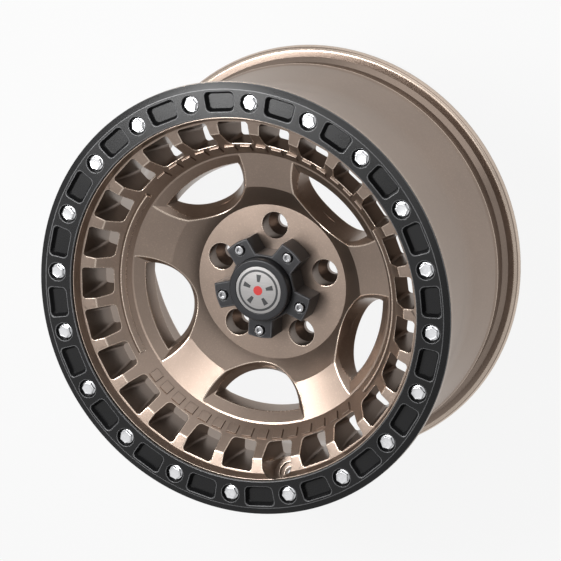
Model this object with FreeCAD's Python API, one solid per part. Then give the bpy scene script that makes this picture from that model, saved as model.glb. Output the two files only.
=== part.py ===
import FreeCAD, Part
import math
import os

# Cast alloy wheel, 17 x 8.5 inch, five lug holes, with a bolted clamp ring and a screwed
# hub cap.  Millimetres.  The axle line is Z and the wheel lies on its rear lip at z = 0,
# so its outer face looks up.  Turn angles are counted from +X towards +Y.

V = FreeCAD.Vector
AXIS = V(0, 0, 1)

# Barrel of the rim
RIM_DEPTH = 241.4          # rear lip to the face of the clamp ring
BEAD_R = 218.3             # radius of both bead seats, 17 inch nominal
FLANGE_RISE = 17.3         # flanges above the bead seats
RIM_WALL = 6.0             # wall of the barrel
WELL_DROP = 13.8           # drop centre below the bead seats
WELL_LENGTH = 82.0         # flat part of the drop centre
HUMP_RISE = 2.2            # safety humps above the bead seats
HUMP_WIDTH = 7.4           # foot of a safety hump
FRONT_SEAT = 19.0          # width of the front bead seat
REAR_SEAT = 16.5           # width of the rear bead seat
BEAD_BEVEL = 5.0           # corner between bead seat and flange
FLANGE_BACK = 13.0         # ring face to the back of the front flange
REAR_FLANGE = 12.7         # thickness of the rear flange
FLANGE_BEVEL = 4.0         # edges of both flanges
REAR_LIP_IN = 4.0          # bevel inside the rear lip
WELL_BEVEL = 8.0           # corner between disc and barrel, behind

# Clamp ring
RING_EDGE = 0.2            # ring edge inside the flange edge
RING_WIDTH = 37.2          # inner to outer edge
RING_THICK = 9.5           # body, which lies in a groove of the casting
RING_LIP = 4.5             # thin outer lip, which covers the flange
RING_LIP_WIDTH = 7.5
RING_BEVEL = 7.1           # width of the outer bevel
RING_BEVEL_DROP = 2.0
RING_CHAMFER = 0.8         # inner edge
RING_GAP = 0.3             # ring to groove wall
BOLT_COUNT = 20
BOLT_INSET = 20.4          # bolt circle inside the ring's outer edge
BOLT_START = 90.0

# Pockets of the ring, one between each two bolts
POCKET_LENGTH = 21.3       # opening, along the radius
POCKET_WIDTH = 32.8        # opening, along the ring
POCKET_DEPTH = 5.3
POCKET_DRAFT = 38.0        # lean of the walls, degrees from upright
POCKET_CORNER = 3.5        # corner rounds of the pockets

# Ring bolts, M8 with a hexagon head
BOLT_SHANK = 8.0
BOLT_HEX = 13.0            # across flats
BOLT_HEAD = 5.1
BOLT_SUNK = 5.3            # depth of the counterbore
BOLT_BITE = 5.6            # thread in the casting
BOLT_BORE_R = 10.0         # counterbore
BOLT_HOLE_R = 4.5          # clearance hole
THREAD_GAP = 0.1           # thread to its hole, on the radius
HOLE_END = 1.0             # tapped holes run on past their screws

# Dished face of the casting, from the ring inwards
LIP_SUNK = 3.7             # lip top below the ring face
LIP_TOP = 1.0              # width of the lip top
LIP_FOOT_RUN = 3.6         # lip slope, along the radius
LIP_FALL = 9.4             # lip slope, along the axle
LAND_RUN = 15.3            # narrow land with the outer half of the small windows
LAND_FALL = 4.3
BAND_RUN = 27.9            # steep band
BAND_FALL = 35.5
SPOKE_FALL = 15.9          # shallow cone of the spokes
STEEP_RUN = 24.1           # steep cone round the hub pad
STEEP_FALL = 21.1

# Hub
HUB_THICK = 34.5           # pad to mounting face
HUB_BORE_R = 35.75
HUB_CHAMFER = 1.5          # bevel of the hub bore, behind
LUG_COUNT = 5
LUG_CIRCLE_R = 63.5
LUG_START = 90.0
LUG_EDGE = 22.5            # lug circle to the edge of the pad
LUG_POCKET_R = 14.6
LUG_POCKET_DEPTH = 18.0
LUG_SEAT_ANGLE = 60.0      # full angle of the cone seat
LUG_HOLE_R = 8.3
MOUNT_EDGE = 6.0           # mounting face smaller than the pad

# Disc behind the face
DISC_BACK = 61.0           # ring face to the back of the window band
DISC_BACK_IN = 14.0        # inner edge of that flat, inside the crease
SPOKE_THICK = 32.0         # spokes at the edge of the steep cone, along the axle

# Large windows between the spokes.  The round side of a window is a leaning cone above a
# shoulder and a second cone below it; the outer side is turned about the axle.
WINDOW_COUNT = 5
WINDOW_START = 54.0
WINDOW_R = 60.4            # upper cone at the height of the ridge
WINDOW_INSET = 27.2        # its axis inside the ridge, at that height
WINDOW_LEAN = 8.1          # its axis leans outwards on the way up
WINDOW_FLARE = 41.9        # half angle of the cone
WINDOW_RIDGE_GAP = 1.1     # outer side to the ridge
WALL_OUT_RUN = 10.8        # upper wall of the outer side, along the radius
WALL_OUT_FALL = 10.1       # and along the axle
LOWER_R = 47.1             # lower cone at its reference height
LOWER_DROP = 27.1          # reference height below the ridge
LOWER_INSET = 6.4          # its axis inside the ridge, at that height
LOWER_LEAN = 22.3          # its axis leans inwards on the way up
LOWER_FLARE = 7.2
LOWER_OUT_RUN = 2.7        # lower wall of the outer side, along the radius
LOWER_OUT_FALL = 18.9      # and along the axle
UPPER_BELOW = 50.0         # length of the upper cone below and above its reference height
UPPER_ABOVE = 20.0
LOWER_BELOW = 60.0         # the same for the lower cone
LOWER_ABOVE = 40.0

# Small windows round the band
VENT_COUNT = 25
VENT_START = 270.0
VENT_IN = 14.2             # inner side, inside the crease
VENT_OUT = 13.4            # outer side, outside the crease
VENT_HALF = 16.7           # half width at the crease
VENT_BACK_IN = 9.2         # the same at the back of the disc
VENT_BACK_OUT = 6.5
VENT_BACK_HALF = 10.0
VENT_CORNER = 3.6          # corner rounds of the windows
VENT_CORE_TOP = 6.0        # top of a window's core below the ring face
VENT_CORE_END = 6.0        # its lower end behind the disc

# Valve hole, square to the slope of the drop centre
VALVE_ANGLE = 284.4
VALVE_TILT = 31.0          # from the axle line
VALVE_R = 5.65
VALVE_WALL = 7.0           # between the front recess and the flat on the tyre side
VALVE_FACE_R = 17.0        # round flat cut from the front
VALVE_RECESS_R = 11.0      # recess in that flat
VALVE_RECESS = 2.5
VALVE_FLAT_R = 9.5         # flat for the valve's foot, on the tyre side
VALVE_FLAT = 0.5           # its depth in the slope
VALVE_SHIFT = 3.5          # boss centre inside the drop centre's radius
VALVE_CUT = 60.0           # length of the cutters

# Raised ribs on the steep band
RIB_CENTRES = (0.0, 180.0)
RIB_SPREAD = 68.8          # degrees
RIB_FROM_RIDGE = 4.9       # foot above the ridge, along the radius
RIB_RUN = 4.5              # width, along the radius
RIB_PROUD = 2.8
RIB_ROOT = 1.0             # foot sunk in the band

# Hub cap, a five-armed star with a round centre
CAP_ARMS = 5
CAP_START = 54.0
CAP_HEIGHT = 28.2          # arm tops above the pad
CAP_ARM_R = 56.2
CAP_ARM_HALF = 14.2
CAP_NOTCH = 37.1           # axis to the straight notch floors
CAP_BEVEL = 1.2
CAP_HOLLOW_R = 31.0
CAP_WALL = 6.0             # under the round centre
CENTRE_GAP = 0.6           # round centre to its recess
CENTRE_R = 34.3
CENTRE_SUNK = 3.0
CENTRE_RISE = 10.7         # above the arm tops
CENTRE_BEVEL = 2.0
BADGE_R = 26.0
BADGE_EDGE = 2.0           # thickness at the edge
BADGE_BEVEL = 1.0
BADGE_GAP = 0.4

# Cap screws, M6 socket head
SCREW_CIRCLE_R = 47.3
SCREW_SHANK = 6.0
SCREW_HEAD_R = 4.9
SCREW_HEAD = 6.0
SCREW_BORE_R = 6.5
SCREW_SUNK = 3.3
SCREW_BITE = 12.0          # thread in the hub
SCREW_HOLE_R = 3.3

OVERCUT = 1.0              # cutters run on past the faces they open
TOUCH = 0.001              # heights closer than this count as the same

# Radii and heights that follow from the sizes above
FLANGE_R = BEAD_R + FLANGE_RISE
WELL_R = BEAD_R - WELL_DROP
RING_OUT_R = FLANGE_R - RING_EDGE
RING_IN_R = RING_OUT_R - RING_WIDTH
RING_STEP_R = RING_OUT_R - RING_LIP_WIDTH
BOLT_CIRCLE_R = RING_OUT_R - BOLT_INSET
GROOVE_IN_R = RING_IN_R - RING_GAP
GROOVE_OUT_R = RING_STEP_R + RING_GAP
FACE_Z = RIM_DEPTH
SEAT_Z = FACE_Z - FLANGE_BACK - BEAD_BEVEL
HUMP_Z = SEAT_Z - FRONT_SEAT
DROP_Z = HUMP_Z - HUMP_WIDTH
GROOVE_Z = FACE_Z - RING_THICK
LIP_Z = FACE_Z - LIP_SUNK
LIP_R = GROOVE_IN_R - LIP_TOP
FOOT_R = LIP_R - LIP_FOOT_RUN
FOOT_Z = LIP_Z - LIP_FALL
CREASE_R = FOOT_R - LAND_RUN
CREASE_Z = FOOT_Z - LAND_FALL
RIDGE_R = CREASE_R - BAND_RUN
RIDGE_Z = CREASE_Z - BAND_FALL
EDGE_Z = RIDGE_Z - SPOKE_FALL
PAD_Z = EDGE_Z - STEEP_FALL
PAD_R = LUG_CIRCLE_R + LUG_EDGE
EDGE_R = PAD_R + STEEP_RUN
MOUNT_Z = PAD_Z - HUB_THICK
MOUNT_R = PAD_R - MOUNT_EDGE
BACK_Z = FACE_Z - DISC_BACK
BACK_R = CREASE_R - DISC_BACK_IN
ARM_Z = PAD_Z + CAP_HEIGHT
BARREL_IN_R = WELL_R - RIM_WALL
LIP_IN_R = BEAD_R - RIM_WALL


def unit(v):
    return v * (1.0 / v.Length)


def turned(corners, start=0.0, angle=360.0):
    """Solid of revolution.  Each corner of its outline is (r, z) or (r, z, bevel)."""
    points = [V(c[0], 0, c[1]) for c in corners]
    ring = []
    for i, corner in enumerate(corners):
        here = points[i]
        if len(corner) > 2:
            ring.append(here + unit(points[i - 1] - here) * corner[2])
            ring.append(here + unit(points[(i + 1) % len(points)] - here) * corner[2])
        else:
            ring.append(here)
    face = Part.Face(Part.makePolygon(ring + [ring[0]]))
    solid = face.revolve(V(0, 0, 0), AXIS, angle)
    solid.rotate(V(0, 0, 0), AXIS, start)
    return solid


def around(shape, count, start):
    """Copies of a shape that was made on the +X axis, spread evenly round the axle."""
    copies = []
    for i in range(count):
        item = shape.copy()
        item.rotate(V(0, 0, 0), AXIS, start + i * 360.0 / count)
        copies.append(item)
    return copies


def disc(radius, bottom, top, x=0.0):
    return Part.makeCylinder(radius, top - bottom, V(x, 0, bottom))


def hexagon(across, bottom, top, x=0.0):
    """Upright hexagonal bar with a corner towards +X."""
    corner = across / math.sqrt(3.0)
    ring = []
    for i in range(7):
        turn = math.radians(60.0 * i)
        ring.append(V(x + corner * math.cos(turn), corner * math.sin(turn), bottom))
    return Part.Face(Part.makePolygon(ring)).extrude(V(0, 0, top - bottom))


def four_sided(near, far, half, spread, height):
    """Outline across +X, wider outwards by its spread."""
    far_half = half + (far - near) * spread
    return [V(near, -half, height), V(far, -far_half, height),
            V(far, far_half, height), V(near, half, height)]


def tapered(lower, upper, corner):
    """Core between two four-sided outlines, with its upright edges rounded."""
    faces = [Part.Face(Part.makePolygon(ring + [ring[0]])) for ring in (lower, upper)]
    for i in range(4):
        k = (i + 1) % 4
        side = [lower[i], lower[k], upper[k], upper[i], lower[i]]
        faces.append(Part.Face(Part.makePolygon(side)))
    core = Part.Solid(Part.Shell(faces))
    height = core.BoundBox.ZLength
    upright = [edge for edge in core.Edges if edge.BoundBox.ZLength > height - TOUCH]
    return core.makeFillet(corner, upright)


# The one-piece casting

def blank():
    """Barrel, disc and hub as turned, before any hole."""
    drop_end = DROP_Z - WELL_DROP * math.tan(math.radians(VALVE_TILT))
    well_end = drop_end - WELL_LENGTH
    rear_hump = REAR_FLANGE + BEAD_BEVEL + REAR_SEAT
    cone_end = rear_hump + HUMP_WIDTH
    front = [
        (HUB_BORE_R, PAD_Z),
        (PAD_R, PAD_Z),
        (EDGE_R, EDGE_Z),
        (RIDGE_R, RIDGE_Z),
        (CREASE_R, CREASE_Z),
        (FOOT_R, FOOT_Z),
        (LIP_R, LIP_Z),
        (GROOVE_IN_R, LIP_Z),
        (GROOVE_IN_R, GROOVE_Z),
        (GROOVE_OUT_R, GROOVE_Z),
        (GROOVE_OUT_R, FACE_Z - RING_LIP),
        (FLANGE_R, FACE_Z - RING_LIP),
    ]
    outside = [
        (FLANGE_R, FACE_Z - FLANGE_BACK, FLANGE_BEVEL),
        (BEAD_R, FACE_Z - FLANGE_BACK, BEAD_BEVEL),
        (BEAD_R, HUMP_Z),
        (BEAD_R + HUMP_RISE, HUMP_Z - HUMP_WIDTH / 2.0),
        (BEAD_R, DROP_Z),
        (WELL_R, drop_end),
        (WELL_R, well_end),
        (BEAD_R, cone_end),
        (BEAD_R + HUMP_RISE, rear_hump + HUMP_WIDTH / 2.0),
        (BEAD_R, rear_hump),
        (BEAD_R, REAR_FLANGE, BEAD_BEVEL),
        (FLANGE_R, REAR_FLANGE, FLANGE_BEVEL),
        (FLANGE_R, 0.0, FLANGE_BEVEL),
    ]
    inside = [
        (LIP_IN_R, 0.0, REAR_LIP_IN),
        (LIP_IN_R, cone_end),
        (BARREL_IN_R, well_end),
        (BARREL_IN_R, BACK_Z, WELL_BEVEL),
        (BACK_R, BACK_Z),
        (EDGE_R, EDGE_Z - SPOKE_THICK),
        (MOUNT_R, MOUNT_Z),
        (HUB_BORE_R, MOUNT_Z, HUB_CHAMFER),
    ]
    return turned(front + outside + inside)


def leaning_cone(radius, flare, centre, lean, height, below, above):
    """Cone about an axis that crosses the given height at the centre, narrowing downwards."""
    turn = math.radians(lean)
    up = V(math.sin(turn), 0, math.cos(turn))
    rate = math.tan(math.radians(flare))
    foot = V(centre, 0, height) - up * below
    return Part.makeCone(radius - rate * below, radius + rate * above, below + above, foot, up)


def window_cutter():
    """Core of one large window: a flared upper part, a shoulder and a steeper lower part."""
    outer_r = RIDGE_R - WINDOW_RIDGE_GAP
    shoulder_r = outer_r - WALL_OUT_RUN
    shoulder_z = RIDGE_Z - WALL_OUT_FALL
    depth = shoulder_z - MOUNT_Z
    low_r = shoulder_r - LOWER_OUT_RUN * depth / LOWER_OUT_FALL
    upper = leaning_cone(WINDOW_R, WINDOW_FLARE, RIDGE_R - WINDOW_INSET, WINDOW_LEAN,
                         RIDGE_Z, UPPER_BELOW, UPPER_ABOVE)
    upper = upper.common(turned([(0.0, MOUNT_Z), (shoulder_r / 2.0, MOUNT_Z),
                                 (shoulder_r, shoulder_z), (outer_r, RIDGE_Z), (0.0, RIDGE_Z)]))
    lower = leaning_cone(LOWER_R, LOWER_FLARE, RIDGE_R - LOWER_INSET, -LOWER_LEAN,
                         RIDGE_Z - LOWER_DROP, LOWER_BELOW, LOWER_ABOVE)
    lower = lower.common(turned([(0.0, MOUNT_Z), (low_r, MOUNT_Z),
                                 (shoulder_r, shoulder_z), (0.0, shoulder_z)]))
    return upper.fuse(lower)


def vent_cutter():
    """Core of one small window, tapered towards the back."""
    inner_z = CREASE_Z - VENT_IN * BAND_FALL / BAND_RUN
    outer_z = CREASE_Z + VENT_OUT * LAND_FALL / LAND_RUN

    def at(z, front, back, front_z):
        return front + (back - front) * (z - front_z) / (BACK_Z - front_z)

    outlines = []
    for z in (BACK_Z - VENT_CORE_END, FACE_Z - VENT_CORE_TOP):
        half = at(z, VENT_HALF, VENT_BACK_HALF, CREASE_Z)
        outlines.append(four_sided(CREASE_R - at(z, VENT_IN, VENT_BACK_IN, inner_z),
                                   CREASE_R + at(z, VENT_OUT, VENT_BACK_OUT, outer_z),
                                   half, 0.0, z))
    return tapered(outlines[0], outlines[1], VENT_CORNER)


def lug_cutter():
    """Pocket, cone seat and hole for one wheel nut."""
    seat_z = PAD_Z - LUG_POCKET_DEPTH
    half = math.radians(LUG_SEAT_ANGLE / 2.0)
    hole_z = seat_z - (LUG_POCKET_R - LUG_HOLE_R) / math.tan(half)
    cutter = turned([
        (0.0, PAD_Z + OVERCUT),
        (LUG_POCKET_R, PAD_Z + OVERCUT),
        (LUG_POCKET_R, seat_z),
        (LUG_HOLE_R, hole_z),
        (LUG_HOLE_R, MOUNT_Z - OVERCUT),
        (0.0, MOUNT_Z - OVERCUT),
    ])
    cutter.translate(V(LUG_CIRCLE_R, 0, 0))
    return cutter


def valve_cutters():
    """Hole square to the drop slope, from a recessed round flat to a flat for the valve's foot."""
    tilt = math.radians(VALVE_TILT)
    along = V(math.sin(tilt), 0, -math.cos(tilt))
    boss_r = WELL_R - VALVE_SHIFT
    depth = (BEAD_R - boss_r) * along.x
    whole = VALVE_RECESS + VALVE_WALL + VALVE_FLAT
    boss = V(boss_r, 0, DROP_Z + (whole - depth) / math.cos(tilt))
    foot = boss + along * (VALVE_RECESS + VALVE_WALL)
    cutters = [
        Part.makeCylinder(VALVE_FACE_R, VALVE_CUT, boss - along * VALVE_CUT, along),
        Part.makeCylinder(VALVE_RECESS_R, VALVE_RECESS + OVERCUT, boss - along * OVERCUT, along),
        Part.makeCylinder(VALVE_R, VALVE_CUT, boss, along),
        Part.makeCylinder(VALVE_FLAT_R, VALVE_CUT, foot, along),
    ]
    for cutter in cutters:
        cutter.rotate(V(0, 0, 0), AXIS, VALVE_ANGLE)
    return cutters


def rib(centre):
    """Raised bar along the steep band."""
    steep = math.atan2(BAND_FALL, BAND_RUN)
    out = V(-math.sin(steep), 0, math.cos(steep))
    low = V(RIDGE_R + RIB_FROM_RIDGE, 0, RIDGE_Z + RIB_FROM_RIDGE * math.tan(steep))
    high = low + V(RIB_RUN, 0, RIB_RUN * math.tan(steep))
    root = out * RIB_ROOT
    top = out * RIB_PROUD
    ring = [low - root, high - root, high + top, low + top]
    return turned([(p.x, p.z) for p in ring], centre - RIB_SPREAD / 2.0, RIB_SPREAD)


def wheel_casting():
    cutters = around(window_cutter(), WINDOW_COUNT, WINDOW_START)
    cutters += around(vent_cutter(), VENT_COUNT, VENT_START)
    cutters += around(lug_cutter(), LUG_COUNT, LUG_START)
    bolt_end = GROOVE_Z - BOLT_BITE - HOLE_END
    bolt_hole = disc(BOLT_SHANK / 2.0 + THREAD_GAP, bolt_end, FACE_Z, BOLT_CIRCLE_R)
    cutters += around(bolt_hole, BOLT_COUNT, BOLT_START)
    screw_end = PAD_Z - SCREW_BITE - HOLE_END
    screw_hole = disc(SCREW_SHANK / 2.0 + THREAD_GAP, screw_end, PAD_Z + OVERCUT, SCREW_CIRCLE_R)
    cutters += around(screw_hole, CAP_ARMS, CAP_START)
    cutters += valve_cutters()
    body = blank().fuse([rib(centre) for centre in RIB_CENTRES])
    return body.cut(cutters)


# The clamp ring and its bolts

def pocket_cutter():
    """Tapered core of one pocket, wider at its outer side."""
    lean = math.tan(math.radians(POCKET_DRAFT))
    outlines = []
    for z in (FACE_Z - POCKET_DEPTH, FACE_Z + OVERCUT):
        inset = (FACE_Z - z) * lean
        near = BOLT_CIRCLE_R - POCKET_LENGTH / 2.0 + inset
        far = BOLT_CIRCLE_R + POCKET_LENGTH / 2.0 - inset
        spread = POCKET_WIDTH / 2.0 / BOLT_CIRCLE_R
        outlines.append(four_sided(near, far, near * spread - inset, spread, z))
    return tapered(outlines[0], outlines[1], POCKET_CORNER)


def clamp_ring():
    body = turned([
        (RING_IN_R, GROOVE_Z),
        (RING_STEP_R, GROOVE_Z),
        (RING_STEP_R, FACE_Z - RING_LIP),
        (RING_OUT_R, FACE_Z - RING_LIP),
        (RING_OUT_R, FACE_Z - RING_BEVEL_DROP),
        (RING_OUT_R - RING_BEVEL, FACE_Z),
        (RING_IN_R + RING_CHAMFER, FACE_Z),
        (RING_IN_R, FACE_Z - RING_CHAMFER),
    ])
    bore = turned([
        (0.0, FACE_Z + OVERCUT),
        (BOLT_BORE_R, FACE_Z + OVERCUT),
        (BOLT_BORE_R, FACE_Z - BOLT_SUNK),
        (BOLT_HOLE_R, FACE_Z - BOLT_SUNK),
        (BOLT_HOLE_R, GROOVE_Z - OVERCUT),
        (0.0, GROOVE_Z - OVERCUT),
    ])
    bore.translate(V(BOLT_CIRCLE_R, 0, 0))
    cutters = around(bore, BOLT_COUNT, BOLT_START)
    cutters += around(pocket_cutter(), BOLT_COUNT, BOLT_START + 180.0 / BOLT_COUNT)
    return body.cut(cutters)


def ring_bolt():
    seat = FACE_Z - BOLT_SUNK
    head = hexagon(BOLT_HEX, seat, seat + BOLT_HEAD, BOLT_CIRCLE_R)
    shank = disc(BOLT_SHANK / 2.0, GROOVE_Z - BOLT_BITE, seat, BOLT_CIRCLE_R)
    return head.fuse(shank)


# The hub cap

def star(bottom, top):
    """Upright star with parallel-sided arms, round arm ends and straight notch floors."""
    pitch = math.radians(180.0 / CAP_ARMS)
    inner = (CAP_NOTCH - CAP_ARM_HALF * math.sin(pitch)) / math.cos(pitch)
    outer = math.sqrt(CAP_ARM_R ** 2 - CAP_ARM_HALF ** 2)
    edges = []
    last = None
    first = None
    for i in range(CAP_ARMS):
        turn = FreeCAD.Rotation(AXIS, i * 360.0 / CAP_ARMS)
        a, b, c, d, e = [turn.multVec(V(x, y, bottom)) for x, y in (
            (inner, -CAP_ARM_HALF), (outer, -CAP_ARM_HALF), (CAP_ARM_R, 0),
            (outer, CAP_ARM_HALF), (inner, CAP_ARM_HALF))]
        if last is None:
            first = a
        else:
            edges.append(Part.makeLine(last, a))
        edges.append(Part.makeLine(a, b))
        edges.append(Part.Arc(b, c, d).toShape())
        edges.append(Part.makeLine(d, e))
        last = e
    edges.append(Part.makeLine(last, first))
    solid = Part.Face(Part.Wire(edges)).extrude(V(0, 0, top - bottom))
    rims = [edge for edge in solid.Edges if abs(edge.BoundBox.ZMin - top) < TOUCH]
    return solid.makeChamfer(CAP_BEVEL, rims)


def cap_body():
    seat = ARM_Z - CENTRE_SUNK
    body = star(PAD_Z, ARM_Z)
    hollow = disc(CAP_HOLLOW_R, PAD_Z - OVERCUT, seat - CAP_WALL)
    recess = disc(CENTRE_R + CENTRE_GAP, seat, ARM_Z + OVERCUT)
    bore = disc(SCREW_BORE_R, ARM_Z - SCREW_SUNK, ARM_Z + OVERCUT, SCREW_CIRCLE_R)
    hole = disc(SCREW_HOLE_R, PAD_Z - OVERCUT, ARM_Z, SCREW_CIRCLE_R)
    cutters = around(bore, CAP_ARMS, 0.0) + around(hole, CAP_ARMS, 0.0)
    body = body.cut([hollow, recess] + cutters)
    body.rotate(V(0, 0, 0), AXIS, CAP_START)
    return body


def cap_centre():
    """Round centre of the cap, with a shallow seat for the badge."""
    top = ARM_Z + CENTRE_RISE
    return turned([
        (0.0, ARM_Z - CENTRE_SUNK),
        (CENTRE_R, ARM_Z - CENTRE_SUNK),
        (CENTRE_R, top, CENTRE_BEVEL),
        (BADGE_R + BADGE_GAP, top),
        (BADGE_R + BADGE_GAP, top - BADGE_EDGE),
        (0.0, top - BADGE_EDGE),
    ])


def cap_badge():
    """Plain disc."""
    top = ARM_Z + CENTRE_RISE
    return turned([
        (0.0, top - BADGE_EDGE),
        (BADGE_R, top - BADGE_EDGE),
        (BADGE_R, top, BADGE_BEVEL),
        (0.0, top),
    ])


def cap_screw():
    seat = ARM_Z - SCREW_SUNK
    top = seat + SCREW_HEAD
    head = disc(SCREW_HEAD_R, seat, top, SCREW_CIRCLE_R)
    shank = disc(SCREW_SHANK / 2.0, PAD_Z - SCREW_BITE, seat, SCREW_CIRCLE_R)
    return head.fuse(shank)


def one_solid(shape):
    return shape.Solids[0]


def save(name, shape):
    shape.exportStep(os.path.join("parts", name + ".step"))
    print(name, "solids", len(shape.Solids), "valid", shape.isValid(),
          "volume cm3", round(shape.Volume / 1000.0, 1))


os.makedirs("parts", exist_ok=True)
save("wheel_casting", one_solid(wheel_casting()))
save("clamp_ring", one_solid(clamp_ring()))
save("ring_bolts", Part.makeCompound(around(one_solid(ring_bolt()), BOLT_COUNT, BOLT_START)))
save("cap_body", one_solid(cap_body()))
save("cap_centre", one_solid(cap_centre()))
save("cap_badge", one_solid(cap_badge()))
save("cap_screws", Part.makeCompound(around(one_solid(cap_screw()), CAP_ARMS, CAP_START)))
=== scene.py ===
# %% [markdown]
# A cast alloy wheel, dressed from its solids.
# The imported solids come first, as a fixed frame in real metres: the axle is Z, the wheel lies on
# its rear lip, and its outer face looks up. Their shapes are right already. What they lack is what
# makes metal look real from close by: rolled edges, formed bolt heads, paint and light. Each cell
# below adds one of those, and the numbers it needs are read from the frame or named beside it.

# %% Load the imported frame
import math

import bmesh
import bpy
from mathutils import Matrix, Vector


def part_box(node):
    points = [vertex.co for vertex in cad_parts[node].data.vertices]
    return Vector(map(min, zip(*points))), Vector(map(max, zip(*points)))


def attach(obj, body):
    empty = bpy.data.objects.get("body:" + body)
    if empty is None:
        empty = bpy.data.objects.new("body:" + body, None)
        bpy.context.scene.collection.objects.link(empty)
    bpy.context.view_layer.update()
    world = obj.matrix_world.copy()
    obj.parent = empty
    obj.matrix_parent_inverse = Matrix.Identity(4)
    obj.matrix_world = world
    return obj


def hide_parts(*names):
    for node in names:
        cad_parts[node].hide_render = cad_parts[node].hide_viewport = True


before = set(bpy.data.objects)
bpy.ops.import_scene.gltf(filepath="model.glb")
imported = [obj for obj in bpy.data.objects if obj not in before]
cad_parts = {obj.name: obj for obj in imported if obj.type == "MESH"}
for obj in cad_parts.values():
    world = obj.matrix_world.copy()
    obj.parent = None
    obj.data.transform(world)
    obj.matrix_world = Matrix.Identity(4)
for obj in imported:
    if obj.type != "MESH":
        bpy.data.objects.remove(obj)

bpy.ops.object.select_all(action="DESELECT")
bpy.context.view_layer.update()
print("nodes:", ", ".join(sorted(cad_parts)))

# %% [markdown]
# A wheel is a turned thing, so most of it is told by radii and heights. The ones that a node's box
# gives are read from it, which keeps them right when the source changes. The few that a box can't
# give, such as the circle that the bolts stand on, are written here once, in millimetres.

# %% Sizes that the pieces share
MM = 0.001

FACE_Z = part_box("clamp_ring")[1].z
RING_OUT_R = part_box("clamp_ring")[1].x
PAD_Z, ARM_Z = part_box("cap_body")[0].z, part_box("cap_body")[1].z
CENTRE_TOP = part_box("cap_centre")[1].z
CENTRE_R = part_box("cap_centre")[1].x
BADGE_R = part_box("cap_badge")[1].x

BOLT_COUNT = 20
BOLT_START = 90.0
BOLT_INSET = 20.4 * MM
BOLT_SUNK = 5.3 * MM
BOLT_CIRCLE_R = RING_OUT_R - BOLT_INSET
BOLT_SEAT = FACE_Z - BOLT_SUNK
BOLT_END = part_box("ring_bolts")[0].z
SCREW_COUNT = 5
SCREW_CIRCLE_R = 47.3 * MM
SCREW_START = 54.0
SCREW_SUNK = 3.3 * MM
SCREW_SEAT = ARM_Z - SCREW_SUNK
SCREW_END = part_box("cap_screws")[0].z
print("ring face at", round(FACE_Z / MM, 1), "and hub pad at", round(PAD_Z / MM, 1), "mm")

# %% [markdown]
# Mesh operators act on whatever is selected, so small tools come first: one that selects a single
# piece, one that goes into edit mode with only the wanted faces selected, found by their place or
# the way they look, and one that adds a modifier and makes it permanent. The last one is used most
# for rolled edges and smooth shading, so those have tools of their own.

# %% Tools for selecting and finishing
SMOOTH_ANGLE = 30.0        # edges that turn by more stay sharp, degrees
ROUND_SMOOTH_ANGLE = 40.0  # the same on the round pieces of the cap
FACING = 0.9               # least share of a normal along the axle
ON_AXLE = 1.0 * MM


def only(piece):
    """Selects one piece and nothing else."""
    bpy.ops.object.select_all(action="DESELECT")
    piece.select_set(True)
    bpy.context.view_layer.objects.active = piece


def edit_faces(piece, wanted):
    """Goes into edit mode with just the faces that the test wants, by centre and normal."""
    only(piece)
    bpy.ops.object.mode_set(mode="EDIT")
    bpy.ops.mesh.select_mode(type="FACE")
    bpy.ops.mesh.select_all(action="DESELECT")
    bpy.ops.object.mode_set(mode="OBJECT")
    for face in piece.data.polygons:
        face.select = wanted(face.center, face.normal)
    bpy.ops.object.mode_set(mode="EDIT")


def leave_edit():
    bpy.ops.object.mode_set(mode="OBJECT")


def looks_up(centre, normal):
    return normal.z > FACING


def looks_down(centre, normal):
    return normal.z < -FACING


def on_axle(centre, normal):
    return centre.xy.length < ON_AXLE


def every_face(centre, normal):
    return True


def lift(height):
    """Moves the selected faces along the axle."""
    bpy.ops.transform.translate(value=(0, 0, height))


def draw_out(height):
    """Extrudes the selected faces along the axle."""
    bpy.ops.mesh.extrude_region_move(TRANSFORM_OT_translate={"value": (0, 0, height)})


def finish_with(piece, kind, **settings):
    """Adds one modifier to a piece and applies it."""
    only(piece)
    modifier = piece.modifiers.new(kind.title(), kind)
    for name, value in settings.items():
        setattr(modifier, name, value)
    bpy.ops.object.modifier_apply(modifier=modifier.name)


def roll_edges(piece, width, angle, **settings):
    """Rounds the edges that turn by more than an angle, in degrees."""
    finish_with(piece, "BEVEL", width=width, segments=2, limit_method="ANGLE",
                angle_limit=math.radians(angle), **settings)


def smooth(piece, angle=SMOOTH_ANGLE):
    """Smooth shading that stays flat on flat faces and breaks at sharp edges."""
    only(piece)
    if piece.data.has_custom_normals:
        bpy.ops.mesh.customdata_custom_splitnormals_clear()
    bpy.ops.object.shade_smooth()
    bpy.ops.object.mode_set(mode="EDIT")
    bpy.ops.mesh.select_mode(type="EDGE")
    bpy.ops.mesh.select_all(action="DESELECT")
    bpy.ops.mesh.edges_select_sharp(sharpness=math.radians(angle))
    bpy.ops.mesh.mark_sharp()
    leave_edit()
    finish_with(piece, "WEIGHTED_NORMAL", keep_sharp=True, weight=100)


def settle(piece):
    """Puts a piece's place and turn into its mesh, with its object at the origin."""
    only(piece)
    bpy.ops.object.transform_apply(location=True, rotation=True, scale=True)


def named(name):
    """Names the piece that an operator has just made."""
    piece = bpy.context.object
    piece.name = name
    return piece


def hexagon_corner(across):
    """Radius to the corners of a hexagon, from its size across the flats."""
    return across / math.sqrt(3.0)


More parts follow.
